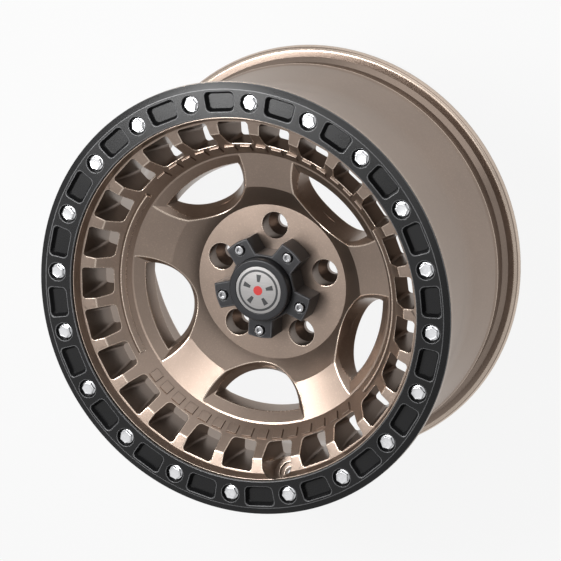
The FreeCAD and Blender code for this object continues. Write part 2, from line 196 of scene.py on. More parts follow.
# %% [markdown]
# A cast or machined edge is never a knife edge: the mould has a radius and the paint adds to it.
# That thin roll is what catches the light round every window. It could be drawn into the solids,
# but here it is bevelled on a copy, and only where it can be seen. The imported mesh is loose
# triangles, so the copy is merged and turned to quads first. Then each edge that turns outwards
# by more than a facet of a round does gets a bevel weight, unless it hides under another piece.
# The new faces take the second material slot, whose finish is smoother and lighter in colour: the
# lighter colour is a painted highlight along the edge.

# %% Rolled edges on a copy of a solid
EDGE_SLOT = 1
PLACES = [bpy.data.materials.new("face_place"), bpy.data.materials.new("edge_place")]
SHARP = math.radians(24.0)
MERGE_GAP = 0.01 * MM
QUAD_TURN = math.radians(5.0)
QUAD_SKEW = math.radians(60.0)
ROLLED_SMOOTH_ANGLE = 17.0


def two_slots(piece):
    """Places that are kept for the finish of the faces and the finish of the edges."""
    piece.data.materials.clear()
    for kept in PLACES:
        piece.data.materials.append(kept)


def weigh_edges(piece, share):
    """Gives each sharp outward edge its share of the bevel, by its radius and height."""
    mesh = bmesh.new()
    mesh.from_mesh(piece.data)
    weight = mesh.edges.layers.float.new("bevel_weight_edge")
    rolled = 0
    for edge in mesh.edges:
        middle = (edge.verts[0].co + edge.verts[1].co) / 2
        if edge.calc_face_angle_signed(0.0) > SHARP:
            edge[weight] = share(middle.xy.length, middle.z)
            rolled += edge.calc_length() * (edge[weight] > 0)
    mesh.to_mesh(piece.data)
    mesh.free()
    return rolled


def rolled_copy(node, name, width, segments, share=lambda r, z: 1.0):
    """A piece with the shape of a solid and its visible outer edges rolled."""
    piece = bpy.data.objects.new(name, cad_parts[node].data.copy())
    bpy.context.collection.objects.link(piece)
    two_slots(piece)
    only(piece)
    bpy.ops.object.mode_set(mode="EDIT")
    bpy.ops.mesh.select_all(action="SELECT")
    bpy.ops.mesh.remove_doubles(threshold=MERGE_GAP)
    bpy.ops.mesh.tris_convert_to_quads(face_threshold=QUAD_TURN, shape_threshold=QUAD_SKEW)
    leave_edit()
    rolled = weigh_edges(piece, share)
    finish_with(piece, "BEVEL", width=width, segments=segments, limit_method="WEIGHT",
                use_clamp_overlap=False, loop_slide=False, miter_outer="MITER_ARC",
                material=EDGE_SLOT)
    smooth(piece, ROLLED_SMOOTH_ANGLE)
    print(name, "has", round(rolled, 1), "m of rolled edge and", len(piece.data.polygons), "faces")
    return piece


# %% [markdown]
# Not every edge of the casting is alike. The flanges have thick, round edges, so they get the
# whole width. The other edges get about half, and the narrow lip beside the ring very little.
# What the ring and the cap cover gets none, and neither do the edges deep inside the hub.

# %% The two rolled copies
CASTING_ROLL = 2.2 * MM
CAP_ROLL = 0.6 * MM
LIP_SHARE = 0.18
PLAIN_SHARE = 0.45
REAR_FLANGE_TOP = 14.0 * MM
FRONT_FLANGE_TOP = 230.0 * MM
FLANGE_IN_R = 205.0 * MM
LIP_IN_R = 190.0 * MM
LIP_LOW = 226.0 * MM
THROAT_R = 104.0 * MM
THROAT_Z = 148.0 * MM
GROOVE_IN_R = 198.0 * MM
GROOVE_LOW = 220.0 * MM
GROOVE_OUT_R = 234.0 * MM
CAP_COVER_R = 58.0 * MM
CAP_COVER_DEPTH = 20.0 * MM


def casting_share(r, z):
    """The share of the casting's roll that an edge gets, by its radius and height."""
    if r < CAP_COVER_R and z > PAD_Z - CAP_COVER_DEPTH:
        return 0.0
    if r > FLANGE_IN_R and z < REAR_FLANGE_TOP:
        return 1.0
    if r > GROOVE_OUT_R and z < FRONT_FLANGE_TOP:
        return 1.0
    if GROOVE_IN_R < r < GROOVE_OUT_R and z > GROOVE_LOW:
        return 0.0
    if r < THROAT_R and z < THROAT_Z:
        return 0.0
    if r > LIP_IN_R and z > LIP_LOW:
        return LIP_SHARE
    return PLAIN_SHARE


casting = rolled_copy("wheel_casting", "casting_rolled", CASTING_ROLL, 3, casting_share)
cap_body = rolled_copy("cap_body", "cap_body_rolled", CAP_ROLL, 2)

# %% [markdown]
# What repeats round the axle is modelled once, on the +X side where it is easy to think about,
# and then copied. Each copy gets its own mesh, turned about Z, so that every object stays at the
# origin with its place in its mesh.

# %% Copies round the axle


def around_axle(piece, count, start, name):
    """The piece and its copies, spread evenly from a start angle, in degrees."""
    copies = []
    for i in range(count):
        item = bpy.data.objects.new(f"{name}_{i + 1}", piece.data.copy())
        bpy.context.collection.objects.link(item)
        turn = math.radians(start + i * 360.0 / count)
        item.data.transform(Matrix.Rotation(turn, 4, "Z"))
        copies.append(item)
    bpy.data.objects.remove(piece)
    return copies


def joined(pieces, name):
    """Joins pieces into one mesh with its object at the origin."""
    bpy.ops.object.select_all(action="DESELECT")
    for piece in pieces:
        piece.select_set(True)
    bpy.context.view_layer.objects.active = pieces[0]
    bpy.ops.object.join()
    piece = named(name)
    settle(piece)
    smooth(piece)
    return piece


# %% [markdown]
# The clamp ring is the one piece that the eye goes to first, and its pockets have soft rims and
# soft floors that a bevel on loose triangles can't make cleanly. So it is modelled afresh, to the
# sizes of its solid. A cylinder is the outer lip. Its top is inset and raised for the wide outer
# bevel, its foot is inset and drawn down for the part that lies in the groove, and the last two
# inset faces are bridged, which opens the hole.

# %% Turned body of the clamp ring
RING_WIDTH = 37.2 * MM
RING_THICK = 9.5 * MM
RING_LIP = 4.5 * MM
RING_LIP_WIDTH = 7.5 * MM
RING_BEVEL = 7.1 * MM
RING_BEVEL_DROP = 2.0 * MM
RING_CHAMFER = 0.8 * MM
RING_ROLL = 0.45 * MM
RING_ROLL_ANGLE = math.radians(10.0)
RING_STEPS = 200


def turned_ring():
    foot, shoulder = FACE_Z - RING_LIP, FACE_Z - RING_BEVEL_DROP
    bpy.ops.mesh.primitive_cylinder_add(vertices=RING_STEPS, radius=RING_OUT_R,
                                        depth=shoulder - foot,
                                        location=(0, 0, (foot + shoulder) / 2))
    piece = named("ring_turned")
    settle(piece)
    two_slots(piece)
    edit_faces(piece, looks_up)
    bpy.ops.mesh.inset(thickness=RING_BEVEL)
    lift(RING_BEVEL_DROP)
    bpy.ops.mesh.inset(thickness=RING_WIDTH - RING_BEVEL - RING_CHAMFER)
    bpy.ops.mesh.inset(thickness=RING_CHAMFER)
    lift(-RING_CHAMFER)
    leave_edit()
    edit_faces(piece, looks_down)
    bpy.ops.mesh.inset(thickness=RING_LIP_WIDTH)
    draw_out(RING_LIP - RING_THICK)
    bpy.ops.mesh.inset(thickness=RING_WIDTH - RING_LIP_WIDTH)
    leave_edit()
    edit_faces(piece, on_axle)
    bpy.ops.mesh.bridge_edge_loops()
    bpy.ops.mesh.select_mode(type="EDGE")
    bpy.ops.mesh.select_all(action="DESELECT")
    bpy.ops.mesh.edges_select_sharp(sharpness=RING_ROLL_ANGLE)
    bpy.ops.mesh.bevel(offset=RING_ROLL, segments=2, material=EDGE_SLOT)
    leave_edit()
    return piece


ring = turned_ring()
print("turned ring has", len(ring.data.polygons), "faces")

# %% [markdown]
# A pocket is what a rounded tool leaves behind, so the tool is modelled instead of the pocket: an
# outline is sunk step by step through a section, and each step is scaled to its inset. The same
# steps make the tool for the bolt's bore. The section starts with the rolled rim, whose faces take
# the edge's slot, and rounds the corner where the wall meets the floor.

# %% Tools for the pockets and bores
POCKET_LENGTH = 21.3 * MM  # along the radius
POCKET_WIDTH = 32.8 * MM   # along the ring
POCKET_DEPTH = 5.3 * MM
POCKET_LEAN = math.radians(38.0)
POCKET_CORNER = 5.2 * MM
RIM_ROLL = 0.75 * MM
FLOOR_ROUND = 1.3 * MM
BORE_R = 10.0 * MM
BORE_HOLE_R = 4.5 * MM
OVER = 1.0 * MM            # tools start this high above the ring's face
TOUCH = 0.03 * MM          # and their rims just under it


def rounded_corner(before, corner, after, reach, steps=4):
    """Points of a soft curve through a section's corner, from one side of it to the other."""
    start = corner + (before - corner).normalized() * reach
    end = corner + (after - corner).normalized() * reach
    shares = [i / steps for i in range(steps + 1)]
    return [start * (1 - t) ** 2 + corner * 2 * t * (1 - t) + end * t ** 2 for t in shares]


def sink(piece, size, section):
    """Sinks a face through a section of insets and depths, with a flat outline of a given size."""
    edit_faces(piece, every_face)
    now = Vector((0.0, OVER))
    length, width = size
    for inset, height in section:
        draw_out(height - now.y)
        bpy.ops.transform.resize(value=((length - 2 * inset) / (length - 2 * now.x),
                                        (width - 2 * inset) / (width - 2 * now.x), 1.0))
        now = Vector((inset, height))
    bpy.ops.mesh.select_all(action="SELECT")
    bpy.ops.mesh.normals_make_consistent(inside=False)
    leave_edit()
    two_slots(piece)
    for face in piece.data.polygons:
        if -RIM_ROLL < face.center.z < 0.0:
            face.material_index = EDGE_SLOT


def pocket_section():
    side = POCKET_DEPTH * math.tan(POCKET_LEAN) / 2
    rim, corner = Vector((RIM_ROLL, 0.0)), Vector((RIM_ROLL + side, -POCKET_DEPTH))
    middle = Vector((RIM_ROLL * 6, -POCKET_DEPTH))
    roll = rounded_corner(Vector((0.0, 0.0)), rim, corner, RIM_ROLL)
    roll[0].y = -TOUCH
    return roll + rounded_corner(rim, corner, middle + corner, FLOOR_ROUND)


def pocket_tool():
    size = (POCKET_LENGTH + 2 * RIM_ROLL, POCKET_WIDTH + 2 * RIM_ROLL)
    bpy.ops.mesh.primitive_plane_add(size=1.0, location=(0, 0, OVER))
    piece = named("pocket_tool")
    piece.scale = (*size, 1.0)
    settle(piece)
    edit_faces(piece, every_face)
    bpy.ops.mesh.bevel(offset=POCKET_CORNER, segments=6, affect="VERTICES")
    leave_edit()
    sink(piece, size, pocket_section())
    for vertex in piece.data.vertices:
        vertex.co.y *= (BOLT_CIRCLE_R + vertex.co.x) / BOLT_CIRCLE_R
    return piece


def bore_tool():
    radius = BORE_R + RIM_ROLL
    bpy.ops.mesh.primitive_circle_add(vertices=48, radius=radius, fill_type="NGON",
                                      location=(0, 0, OVER))
    piece = named("bore_tool")
    settle(piece)
    rim, seat = Vector((RIM_ROLL, 0.0)), Vector((RIM_ROLL, BOLT_SEAT - FACE_Z))
    roll = rounded_corner(Vector((0.0, 0.0)), rim, seat, RIM_ROLL)
    roll[0].y = -TOUCH
    hole = Vector((radius - BORE_HOLE_R, seat.y))
    sink(piece, (2 * radius, 2 * radius), roll + [seat, hole, hole - Vector((0.0, RING_THICK))])
    return piece


def cut_round_ring(tool, start):
    """Cuts the ring with copies of a tool that stand on the bolt circle."""
    tool.data.transform(Matrix.Translation((BOLT_CIRCLE_R, 0, FACE_Z)))
    tools = joined(around_axle(tool, BOLT_COUNT, start, "tool"), "ring_tools")
    finish_with(ring, "BOOLEAN", object=tools, operation="DIFFERENCE")
    bpy.data.objects.remove(tools)


cut_round_ring(bore_tool(), BOLT_START)
cut_round_ring(pocket_tool(), BOLT_START + 180.0 / BOLT_COUNT)
smooth(ring)
print("clamp ring has", len(ring.data.polygons), "faces")

# %% [markdown]
# The ring is held by flanged hexagon bolts. The solids have them as plain hexagons, which is
# enough to seat them; a pressed bolt has more: a washer-like flange, a hexagon whose corners are
# cut off by a shallow cone, and a dimple in its top. Three primitives make it. The hexagon's
# top is inset and raised for the cone, and inset again and sunk for the dimple.

# %% One flanged bolt
BOLT_FLANGE_R = 9.2 * MM
BOLT_FLANGE = 1.5 * MM
BOLT_FLANGE_TOP_R = 7.7 * MM
BOLT_FLANGE_ROLL = 0.3 * MM
BOLT_ACROSS = 13.0 * MM
BOLT_HEAD = 5.1 * MM
BOLT_CONE = 0.7 * MM       # height of the cone on the hexagon
BOLT_CONE_RUN = 1.0 * MM   # and its width
DIMPLE_RIM = 1.6 * MM
DIMPLE_DEPTH = 0.5 * MM
BOLT_ROLL = 0.25 * MM
BOLT_SHANK_R = 4.0 * MM
BOLT_TIP = 0.8 * MM


def bolt_hexagon():
    tall = BOLT_HEAD - BOLT_CONE
    bpy.ops.mesh.primitive_cylinder_add(vertices=6, radius=hexagon_corner(BOLT_ACROSS), depth=tall,
                                        location=(BOLT_CIRCLE_R, 0, BOLT_SEAT + tall / 2))
    piece = named("bolt_hexagon")
    settle(piece)
    edit_faces(piece, looks_up)
    bpy.ops.mesh.inset(thickness=BOLT_CONE_RUN)
    lift(BOLT_CONE)
    bpy.ops.mesh.inset(thickness=DIMPLE_RIM)
    lift(-DIMPLE_DEPTH)
    leave_edit()
    roll_edges(piece, BOLT_ROLL, angle=20.0)
    return piece


def bolt_flange():
    bpy.ops.mesh.primitive_cone_add(vertices=40, radius1=BOLT_FLANGE_R,
                                    radius2=BOLT_FLANGE_TOP_R, depth=BOLT_FLANGE,
                                    location=(BOLT_CIRCLE_R, 0, BOLT_SEAT + BOLT_FLANGE / 2))
    piece = named("bolt_flange")
    roll_edges(piece, BOLT_FLANGE_ROLL, angle=30.0)
    return piece


def bolt_shank():
    middle = (BOLT_SEAT + BOLT_END) / 2
    bpy.ops.mesh.primitive_cylinder_add(vertices=24, radius=BOLT_SHANK_R,
                                        depth=BOLT_SEAT - BOLT_END,
                                        location=(BOLT_CIRCLE_R, 0, middle))
    piece = named("bolt_shank")
    edit_faces(piece, looks_down)
    bpy.ops.mesh.bevel(offset=BOLT_TIP, segments=1)
    leave_edit()
    return piece


bolt = joined([bolt_hexagon(), bolt_flange(), bolt_shank()], "ring_bolt")
print("one bolt has", len(bolt.data.polygons), "faces")
ring_bolts = around_axle(bolt, BOLT_COUNT, BOLT_START, "ring_bolt")

# %% [markdown]
# The cap is held by five socket head screws, sunk in round bores. A socket head is a turned drum
# with a rounded rim and a hexagonal hole for the key. A boolean with a six-sided bar cuts the
# socket in one step, which keeps the drum's own edge smooth.

# %% One socket head screw
SCREW_HEAD_R = 4.9 * MM
SCREW_HEAD = 6.0 * MM
SCREW_SHANK_R = 3.0 * MM
SOCKET_ACROSS = 5.0 * MM
SOCKET_DEPTH = 3.0 * MM
SCREW_ROUND = 0.7 * MM
SOCKET_ROLL = 0.15 * MM
SCREW_TIP = 0.6 * MM


def screw_head():
    bpy.ops.mesh.primitive_cylinder_add(vertices=40, radius=SCREW_HEAD_R, depth=SCREW_HEAD,
                                        location=(SCREW_CIRCLE_R, 0, SCREW_SEAT + SCREW_HEAD / 2))
    piece = named("screw_head")
    settle(piece)
    edit_faces(piece, looks_up)
    bpy.ops.mesh.bevel(offset=SCREW_ROUND, segments=3)
    leave_edit()
    top = SCREW_SEAT + SCREW_HEAD
    bpy.ops.mesh.primitive_cylinder_add(vertices=6, radius=hexagon_corner(SOCKET_ACROSS),
                                        depth=SOCKET_DEPTH * 2, location=(SCREW_CIRCLE_R, 0, top))
    key = named("socket_bar")
    finish_with(piece, "BOOLEAN", object=key, operation="DIFFERENCE")
    bpy.data.objects.remove(key)
    roll_edges(piece, SOCKET_ROLL, angle=40.0)
    return piece


def screw_shank():
    middle = (SCREW_SEAT + SCREW_END) / 2
    bpy.ops.mesh.primitive_cylinder_add(vertices=20, radius=SCREW_SHANK_R,
                                        depth=SCREW_SEAT - SCREW_END,
                                        location=(SCREW_CIRCLE_R, 0, middle))
    piece = named("screw_shank")
    edit_faces(piece, looks_down)
    bpy.ops.mesh.bevel(offset=SCREW_TIP, segments=1)
    leave_edit()
    return piece


screw = joined([screw_head(), screw_shank()], "cap_screw")
print("one screw has", len(screw.data.polygons), "faces")
cap_screws = around_axle(screw, SCREW_COUNT, SCREW_START, "cap_screw")

# %% [markdown]
# The round centre of the cap is a turned drum with a soft outer edge and a shallow seat for the
# badge. A cylinder's top face gives it all: one inset marks the rim, the inner face is sunk for
# the seat, and a bevel rounds the outside.

# %% Round centre of the cap
CENTRE_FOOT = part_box("cap_centre")[0].z
BADGE_GAP = 0.4 * MM
SEAT_R = BADGE_R + BADGE_GAP
SEAT_DEPTH = 2.0 * MM
CENTRE_ROUND = 2.2 * MM
SEAT_ROLL = 0.3 * MM


def turned_centre():
    tall = CENTRE_TOP - CENTRE_FOOT
    bpy.ops.mesh.primitive_cylinder_add(vertices=128, radius=CENTRE_R, depth=tall,
                                        location=(0, 0, CENTRE_FOOT + tall / 2))
    piece = named("cap_centre_turned")
    settle(piece)
    edit_faces(piece, looks_up)
    bpy.ops.mesh.bevel(offset=CENTRE_ROUND, segments=5)
    leave_edit()
    edit_faces(piece, lambda *face: looks_up(*face) and on_axle(*face))
    bpy.ops.mesh.inset(thickness=CENTRE_R - CENTRE_ROUND - SEAT_R)
    draw_out(-SEAT_DEPTH)
    leave_edit()
    roll_edges(piece, SEAT_ROLL, angle=50.0)
    smooth(piece, ROUND_SMOOTH_ANGLE)
    return piece


cap_centre = turned_centre()
print("cap centre has", len(cap_centre.data.polygons), "faces")

# %% [markdown]
# The badge is a disc of brushed metal under a low dome of clear resin. Its sign is a plain one of
# this wheel's own kind: a thin ring, five spokes and a round dot. The dome is made from a disc by
# insetting its top again and again, and lifting each new ring along a shallow arc.

# %% Domed badge
BADGE_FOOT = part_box("cap_badge")[0].z
BADGE_EDGE = 1.4 * MM
BADGE_DOME = 1.2 * MM
BADGE_ROLL = 0.25 * MM
DOME_RINGS = 8


def dome_height(r):
    """Height of the badge's face at a radius."""
    return BADGE_FOOT + BADGE_EDGE + BADGE_DOME * (1.0 - (r / BADGE_R) ** 2)


def domed_badge():
    bpy.ops.mesh.primitive_cylinder_add(vertices=96, radius=BADGE_R, depth=BADGE_EDGE,
                                        location=(0, 0, BADGE_FOOT + BADGE_EDGE / 2))
    piece = named("badge_domed")
    settle(piece)
    edit_faces(piece, looks_up)
    step = BADGE_R / (DOME_RINGS + 1)
    for i in range(DOME_RINGS):
        outer = BADGE_R - i * step
        bpy.ops.mesh.inset(thickness=step)
        lift(dome_height(outer - step) - dome_height(outer))
    leave_edit()
    roll_edges(piece, BADGE_ROLL, angle=50.0)
    smooth(piece, ROUND_SMOOTH_ANGLE)
    return piece


badge = domed_badge()
print("badge rises to", round(badge.bound_box[1][2] / MM, 2), "mm")

# %% The badge's own plain sign
SIGN_SPOKE_COUNT = 5
SIGN_START = 90.0
SIGN_RING_R = 20.5 * MM
SIGN_RING_WIDTH = 2.4 * MM
SIGN_SPOKE = (9.5 * MM, 17.5 * MM)
SIGN_SPOKE_WIDTH = 5.6 * MM
SIGN_SPOKE_TAPER = 0.45    # share of its width that a spoke loses at its inner end
SIGN_DOT_R = 5.2 * MM
SIGN_SKIN = 0.12 * MM
SIGN_GAP = 0.02 * MM


def laid_on_dome(piece):
    """Drops a flat piece onto the dome and gives it the thickness of a print."""
    for vertex in piece.data.vertices:
        vertex.co.z = dome_height(vertex.co.xy.length) + SIGN_GAP
    finish_with(piece, "SOLIDIFY", thickness=SIGN_SKIN, offset=1.0)
    smooth(piece, ROUND_SMOOTH_ANGLE)


def sign_ring():
    bpy.ops.mesh.primitive_circle_add(vertices=96, radius=SIGN_RING_R, location=(0, 0, 0))
    piece = named("sign_ring")
    bpy.ops.object.mode_set(mode="EDIT")
    bpy.ops.mesh.select_all(action="SELECT")
    bpy.ops.mesh.extrude_edges_move()
    grow = 1.0 + SIGN_RING_WIDTH / SIGN_RING_R
    bpy.ops.transform.resize(value=(grow, grow, 1.0))
    bpy.ops.mesh.select_all(action="SELECT")
    bpy.ops.mesh.normals_make_consistent(inside=False)
    leave_edit()
    return piece


def sign_spoke():
    length = SIGN_SPOKE[1] - SIGN_SPOKE[0]
    bpy.ops.mesh.primitive_grid_add(x_subdivisions=6, y_subdivisions=2, size=1.0,
                                    location=((SIGN_SPOKE[0] + SIGN_SPOKE[1]) / 2, 0, 0))
    piece = named("sign_spoke")
    piece.scale = (length, SIGN_SPOKE_WIDTH, 1.0)
    settle(piece)
    for vertex in piece.data.vertices:
        out = (vertex.co.x - SIGN_SPOKE[0]) / length
        vertex.co.y *= 1.0 - SIGN_SPOKE_TAPER * (1.0 - out)
    return piece


def sign_dot():
    bpy.ops.mesh.primitive_circle_add(vertices=48, radius=SIGN_DOT_R, fill_type="NGON")
    piece = named("sign_dot")
    edit_faces(piece, every_face)
    bpy.ops.mesh.inset(thickness=SIGN_DOT_R / 2)
    leave_edit()
    return piece


sign_black = [sign_ring()] + around_axle(sign_spoke(), SIGN_SPOKE_COUNT, SIGN_START, "sign_spoke")
sign_red = sign_dot()
for piece in sign_black + [sign_red]:
    laid_on_dome(piece)
print("sign pieces:", len(sign_black) + 1)

# %% [markdown]
# Round the steep band of the disc, between the two raised ribs, stand two rows of plain blocks with
# sloped sides, as a mould makes them. One block is a cube whose top face is drawn in, which gives
# the draft, and a bevel rounds it. It is modelled lying on the band at the +X side, tilted to the
# band's slope, and copied round the axle.

# %% Raised blocks on the steep band
BAND_FOOT = Vector((150.1, 0.0, 188.5)) * MM
BAND_TOP = Vector((178.0, 0.0, 224.0)) * MM
BLOCK_LENGTH = 12.0 * MM
BLOCK_HEIGHT = 12.5 * MM
BLOCK_PROUD = 1.9 * MM
BLOCK_ROOT = 0.6 * MM
BLOCK_DRAFT = 0.5 * MM
BLOCK_ROLL = 0.5 * MM
BLOCK_COUNT = 15
BLOCK_PITCH = 6.4          # degrees
BLOCK_ROWS = (90.0, 270.0)
BLOCK_PLACE = 0.29         # share of the way up the band


def raised_block():
    slope = (BAND_TOP - BAND_FOOT).normalized()
    bpy.ops.mesh.primitive_cube_add(size=1.0)
    piece = named("raised_block")
    piece.scale = (BLOCK_HEIGHT, BLOCK_LENGTH, BLOCK_PROUD + BLOCK_ROOT)
    settle(piece)
    edit_faces(piece, looks_up)
    bpy.ops.transform.resize(value=(1.0 - 2 * BLOCK_DRAFT / BLOCK_HEIGHT,
                                    1.0 - 2 * BLOCK_DRAFT / BLOCK_LENGTH, 1.0))
    leave_edit()
    two_slots(piece)
    roll_edges(piece, BLOCK_ROLL, angle=30.0, material=EDGE_SLOT)
    across = Vector((0, 1, 0))
    out = slope.cross(across)
    place = BAND_FOOT.lerp(BAND_TOP, BLOCK_PLACE) + out * (BLOCK_PROUD - BLOCK_ROOT) / 2
    turn = Matrix((slope, across, out)).transposed().to_4x4()
    piece.data.transform(Matrix.Translation(place) @ turn)
    smooth(piece)
    return piece


def row_of_blocks(centre):
    """Blocks spread about an angle, joined as the one raised row that they are."""
    first = centre - BLOCK_PITCH * (BLOCK_COUNT - 1) / 2
    blocks = []
    for i in range(BLOCK_COUNT):
        item = bpy.data.objects.new("block", block.data.copy())
        bpy.context.collection.objects.link(item)
        item.data.transform(Matrix.Rotation(math.radians(first + i * BLOCK_PITCH), 4, "Z"))
        blocks.append(item)
    return joined(blocks, f"raised_row_{round(centre)}")


block = raised_block()
raised_rows = [row_of_blocks(centre) for centre in BLOCK_ROWS]
bpy.data.objects.remove(block)
print("raised rows:", [len(row.data.polygons) for row in raised_rows], "faces")

# %% [markdown]
# Materials come next. Every finish here starts from the same few node steps: noise read from
# object coordinates, so that it stays put on the piece, a map that stretches the noise to a
# useful range, and a bump. They are small functions, and each finish below is then a recipe.
# Object coordinates are metres, so a noise scale of 1000 gives marks about a millimetre wide.

# %% Node steps that the finishes share
NOISE_LOW, NOISE_HIGH = 0.3, 0.7   # nearly all of a noise lies between these
MIX_A, MIX_B, MIX_RESULT = 6, 7, 2  # sockets of a Mix node that mixes colours


def node(tree, kind, inputs=None, **settings):
    """Adds a node, with its settings, and values or links for its inputs."""
    item = tree.nodes.new(kind)
    for name, value in settings.items():
        setattr(item, name, value)
    for name, value in (inputs or {}).items():
        if isinstance(value, bpy.types.NodeSocket):
            tree.links.new(value, item.inputs[name])
        else:
            item.inputs[name].default_value = value
    return item


def start_finish(name):
    """A new material, its node tree and its shader."""
    material = bpy.data.materials.new(name)
    material.use_nodes = True
    tree = material.node_tree
    return material, tree, tree.nodes["Principled BSDF"]


def place_on(tree):
    return node(tree, "ShaderNodeTexCoord").outputs["Object"]


def noise(tree, place, scale, detail=2.0, rough=0.5):
    return node(tree, "ShaderNodeTexNoise", {"Vector": place, "Scale": scale, "Detail": detail,
                                             "Roughness": rough}).outputs["Fac"]


def stretch(tree, value, low, high, to_low, to_high):
    """Maps a value from one range to another."""
    return node(tree, "ShaderNodeMapRange", {"Value": value, "From Min": low, "From Max": high,
                                             "To Min": to_low, "To Max": to_high}).outputs["Result"]


def spread(tree, value, high):
    """Stretches a noise, so that it runs from 0 to a height."""
    return stretch(tree, value, NOISE_LOW, NOISE_HIGH, 0.0, high)


def sum_of(tree, a, b):
    return node(tree, "ShaderNodeMath", {0: a, 1: b}, operation="ADD").outputs[0]


def tone(tree, share, dark, light):
    """A colour between two, by a share from 0 to 1."""
    ramp = node(tree, "ShaderNodeValToRGB", {"Fac": share})
    ramp.color_ramp.elements[0].color = (*dark, 1.0)
    ramp.color_ramp.elements[1].color = (*light, 1.0)
    return ramp.outputs["Color"]


def shades(tree, share, colour, factors):
    """A colour that runs between two factors of itself."""
    return tone(tree, share, scaled(colour, factors[0]), scaled(colour, factors[1]))


def uneven(tree, share, rough, spans):
    """A roughness that runs between two distances from its mean."""
    return stretch(tree, share, 0.0, 1.0, rough + spans[0], rough + spans[1])


def bump(tree, height, distance, strength=1.0, under=None):
    links = {"Height": height, "Distance": distance, "Strength": strength}
    if under is not None:
        links["Normal"] = under
    return node(tree, "ShaderNodeBump", links).outputs["Normal"]


def set_shader(tree, shader, **values):
    """Sets or links the shader's sockets, named with underscores for spaces."""
    for name, value in values.items():
        socket = shader.inputs[name.replace("_", " ")]
        if isinstance(value, bpy.types.NodeSocket):
            tree.links.new(value, socket)
        else:
            socket.default_value = value


def scaled(colour, factor):
    return tuple(min(1.0, channel * factor) for channel in colour)


def scaled_rgba(colour, factor):
    return (*scaled(colour, factor), 1.0)


# %% [markdown]
# The bronze finish is a base coat with fine aluminium flakes under a satin clear coat. Three
# scales of variation make it: slow clouds from the spray gun, a grain of about a millimetre, and
# single flakes that are a little lighter than their neighbours. Its roughness follows the grain,
# and the bump is the faint orange peel that every sprayed coat has. An ambient occlusion node
# darkens the colour in the recesses, which is painted shade. Edges use the same recipe, smoother,
# and lighter in colour as a painted highlight.

# %% Bronze paint
BRONZE = (0.26, 0.194, 0.153)
# the edges' colour, lighter than the face's: a painted highlight
BRONZE_HIGHLIGHT = (0.6, 0.49, 0.405)
BRONZE_METAL = 0.92
EDGE_TINT = (0.8, 0.76, 0.72, 1.0)
CLOUD_SCALE, CLOUD_SHARE = 14.0, 0.45
GRAIN_SCALE, GRAIN_SHARE = 850.0, 0.35
FLAKE_SCALE, FLAKE_SHARE = 900.0, 0.6
FLAKE_RARE = 0.8           # share of the cells that show no flake
BRONZE_TONES = (0.86, 1.14)
BRONZE_ROUGH = (-0.04, 0.05)
PEEL_SCALE, PEEL_HEIGHT = 260.0, 0.05 * MM
SKIN_SCALE, SKIN_HEIGHT = 900.0, 0.02 * MM
SKIN_STRENGTH = 0.35
POCKET_REACH = 30.0 * MM
# share of the colour left in the deepest recesses: painted shade
PAINTED_SHADE_TONE = 0.5
POCKET_SHUT, POCKET_OPEN = 0.2, 0.8


def bronze_paint(name, colour, rough):
    material, tree, shader = start_finish(name)
    place = place_on(tree)
    clouds = spread(tree, noise(tree, place, CLOUD_SCALE, detail=3.0), CLOUD_SHARE)
    grain = spread(tree, noise(tree, place, GRAIN_SCALE, rough=0.6), GRAIN_SHARE)
    cells = node(tree, "ShaderNodeTexVoronoi", {"Vector": place, "Scale": FLAKE_SCALE})
    picked = node(tree, "ShaderNodeSeparateColor", {"Color": cells.outputs["Color"]})
    flakes = stretch(tree, picked.outputs["Red"], FLAKE_RARE, 1.0, 0.0, FLAKE_SHARE)
    share = sum_of(tree, sum_of(tree, clouds, grain), flakes)
    peel = bump(tree, noise(tree, place, PEEL_SCALE), PEEL_HEIGHT, SKIN_STRENGTH)
    skin = bump(tree, noise(tree, place, SKIN_SCALE), SKIN_HEIGHT, SKIN_STRENGTH, peel)
    # Painted shade: the colour darkens where the occlusion node finds recesses.
    open_air = node(tree, "ShaderNodeAmbientOcclusion", {"Distance": POCKET_REACH}, samples=8)
    reach = stretch(tree, open_air.outputs["AO"], POCKET_SHUT, POCKET_OPEN, 0.0, 1.0)
    full = shades(tree, share, colour, BRONZE_TONES)
    shaded = node(tree, "ShaderNodeMix",
                  {"Factor": reach, MIX_A: scaled_rgba(colour, PAINTED_SHADE_TONE), MIX_B: full},
                  data_type="RGBA")
    set_shader(tree, shader,
               Base_Color=shaded.outputs[MIX_RESULT],
               Metallic=BRONZE_METAL,
               Roughness=uneven(tree, share, rough, BRONZE_ROUGH),
               Normal=skin,
               Coat_Weight=0.8, Coat_Roughness=0.3, Specular_Tint=EDGE_TINT)
    return material


bronze = bronze_paint("bronze_paint", BRONZE, 0.33)
# The edges' lighter colour is a painted highlight.
bronze_highlight = bronze_paint("bronze_highlight", BRONZE_HIGHLIGHT, 0.27)

# %% [markdown]
# The clamp ring has a satin black powder coat. Powder melts into a fine dimpled skin, so it has
# more bump than sprayed paint, in dimples of under a millimetre, and its gloss is uneven. On the
# rolled edges its colour is lighter, a painted highlight.

# %% Black powder coat
COAT_BLACK = (0.007, 0.007, 0.0075)
# the rolled edges' lighter colour: a painted highlight
COAT_HIGHLIGHT = (0.11, 0.11, 0.113)
COAT_CLOUD_SCALE, COAT_GRAIN_SCALE = 18.0, 1100.0
DIMPLE_HEIGHT = 0.06 * MM
RING_DIMPLES = 700.0
COAT_TONES = (0.75, 1.3)
COAT_ROUGH = (-0.02, 0.04)


